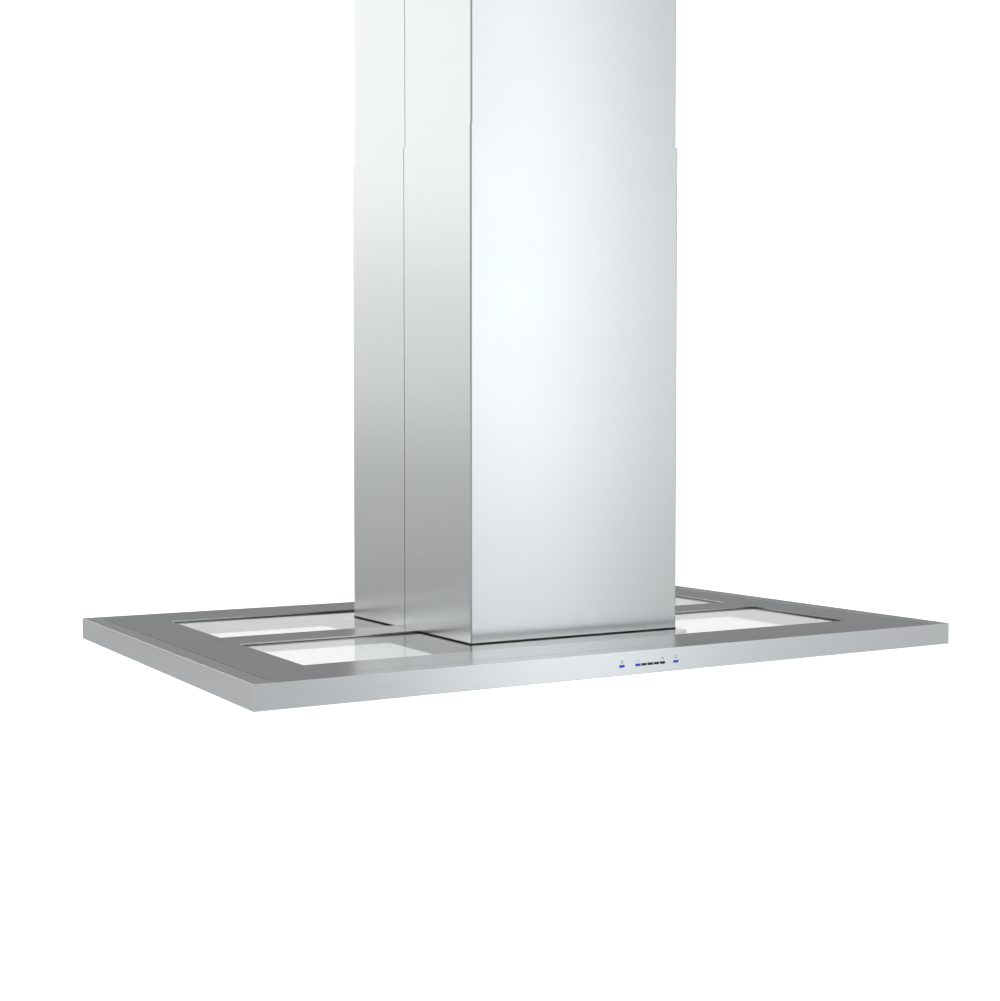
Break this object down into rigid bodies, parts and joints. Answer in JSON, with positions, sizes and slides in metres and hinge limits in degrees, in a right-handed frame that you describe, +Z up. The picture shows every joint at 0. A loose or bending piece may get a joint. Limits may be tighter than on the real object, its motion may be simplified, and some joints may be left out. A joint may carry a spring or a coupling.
{
  "type": "island range hood",
  "caption": "Ceiling-hung island range hood: slim glazed steel canopy with baffle filters and lamps below, under a telescopic square chimney that hides the blower.",
  "frame": {"origin": "middle of the ceiling plate's top face, where the hood meets the ceiling", "axes": "+Z up to the ceiling, +X to the right along the canopy's width, -Y towards the control side (front)"},
  "size_m": [1.067, 0.6992, 1.0254],
  "materials": {
    "canopy_steel": "fine brushed stainless steel, grain along the width",
    "cover_steel": "fine brushed stainless steel, grain across each face",
    "galvanised_sheet": "galvanised sheet with a faint spangle",
    "window_glass": "clear float glass with a green edge",
    "seal_rubber": "black foam strip",
    "black_plastic": "black moulded plastic",
    "white_plastic": "white moulded plastic",
    "motor_paint": "grey motor casing",
    "shaft_steel": "ground steel",
    "lamp_bezel": "satin aluminium",
    "lamp_diffuser": "frosted diffuser",
    "indicator_blue": "light guide, lit blue at three places",
    "circuit_board": "green board",
    "filter_steel": "stainless baffle filter"
  },
  "bodies": {
    "ceiling": {"ceiling_plate": "galvanised_sheet", "upper_upright_front_left": "galvanised_sheet", "upper_upright_front_right": "galvanised_sheet", "upper_upright_rear_left": "galvanised_sheet", "upper_upright_rear_right": "galvanised_sheet", "upper_cover_front": "cover_steel", "upper_cover_rear": "cover_steel"},
    "lower_cover": {"lower_cover_front": "cover_steel", "lower_cover_rear": "cover_steel"},
    "impeller": {"impeller": "black_plastic", "motor_shaft": "shaft_steel"},
    "damper_left": {"damper_flap_left": "galvanised_sheet"},
    "damper_right": {"damper_flap_right": "galvanised_sheet"},
    "filter_left": {"filter_left": "filter_steel"},
    "filter_right": {"filter_right": "filter_steel"},
    "latch_left": {"filter_latch_left": "black_plastic"},
    "latch_right": {"filter_latch_right": "black_plastic"},
    "hood": {"canopy_rim": "canopy_steel", "suction_box": "canopy_steel", "top_plate_front": "canopy_steel", "top_plate_rear": "canopy_steel", "pan_rail_front": "canopy_steel", "pan_rail_rear": "canopy_steel", "pan_rail_left": "canopy_steel", "pan_rail_right": "canopy_steel", "bridge_front": "canopy_steel", "bridge_rear": "canopy_steel", "cross_beam_left": "canopy_steel", "cross_beam_right": "canopy_steel", "blower_box": "galvanised_sheet", "motor_bracket": "galvanised_sheet", "outlet_collar": "galvanised_sheet", "damper_pin": "galvanised_sheet", "electronics_box": "galvanised_sheet", "electronics_cover": "galvanised_sheet", "lower_upright_front_left": "galvanised_sheet", "lower_upright_front_right": "galvanised_sheet", "lower_upright_rear_left": "galvanised_sheet", "lower_upright_rear_right": "galvanised_sheet", "lower_tie_front": "galvanised_sheet", "lower_tie_rear": "galvanised_sheet", "glass_front": "window_glass", "glass_rear": "window_glass", "glass_seal_front": "seal_rubber", "glass_seal_rear": "seal_rubber", "cable_gland": "black_plastic", "scroll_front": "black_plastic", "scroll_rear": "black_plastic", "capacitor": "white_plastic", "motor": "motor_paint", "lamp_front_left": "lamp_bezel", "lamp_front_right": "lamp_bezel", "lamp_rear_left": "lamp_bezel", "lamp_rear_right": "lamp_bezel", "lamp_lens_front_left": "lamp_diffuser", "lamp_lens_front_right": "lamp_diffuser", "lamp_lens_rear_left": "lamp_diffuser", "lamp_lens_rear_right": "lamp_diffuser", "light_guide": "indicator_blue", "control_board": "circuit_board"}
  },
  "joints": [
    {"name": "height_adjust", "type": "slide", "parent": "ceiling", "child": "hood", "axis": [0, 0, 1], "range_m": [-0.1, 0.15]},
    {"name": "lower_cover_lift", "type": "slide", "parent": "hood", "child": "lower_cover", "axis": [0, 0, 1], "range_m": [0, 0.16]},
    {"name": "impeller_spin", "type": "hinge", "parent": "hood", "child": "impeller", "pos_m": [0.04997, 0, -0.8774], "axis": [0, 1, 0], "continuous": true},
    {"name": "damper_left_swing", "type": "hinge", "parent": "hood", "child": "damper_left", "pos_m": [0, 0, -0.7233], "axis": [0, 1, 0], "range_deg": [0, 75]},
    {"name": "damper_right_swing", "type": "hinge", "parent": "hood", "child": "damper_right", "pos_m": [0, 0, -0.7233], "axis": [0, -1, 0], "range_deg": [0, 75]},
    {"name": "filter_left_swing", "type": "hinge", "parent": "hood", "child": "filter_left", "pos_m": [0, 0.1695, -1.0219], "axis": [1, 0, 0], "range_deg": [0, 75]},
    {"name": "filter_latch_left_slide", "type": "slide", "parent": "filter_left", "child": "latch_left", "axis": [0, 1, 0], "range_m": [0, 0.006], "stiffness_N_per_m": 350, "springref_m": -0.003},
    {"name": "filter_right_swing", "type": "hinge", "parent": "hood", "child": "filter_right", "pos_m": [0, 0.1695, -1.0219], "axis": [1, 0, 0], "range_deg": [0, 75]},
    {"name": "filter_latch_right_slide", "type": "slide", "parent": "filter_right", "child": "latch_right", "axis": [0, 1, 0], "range_m": [0, 0.006], "stiffness_N_per_m": 350, "springref_m": -0.003}
  ]
}
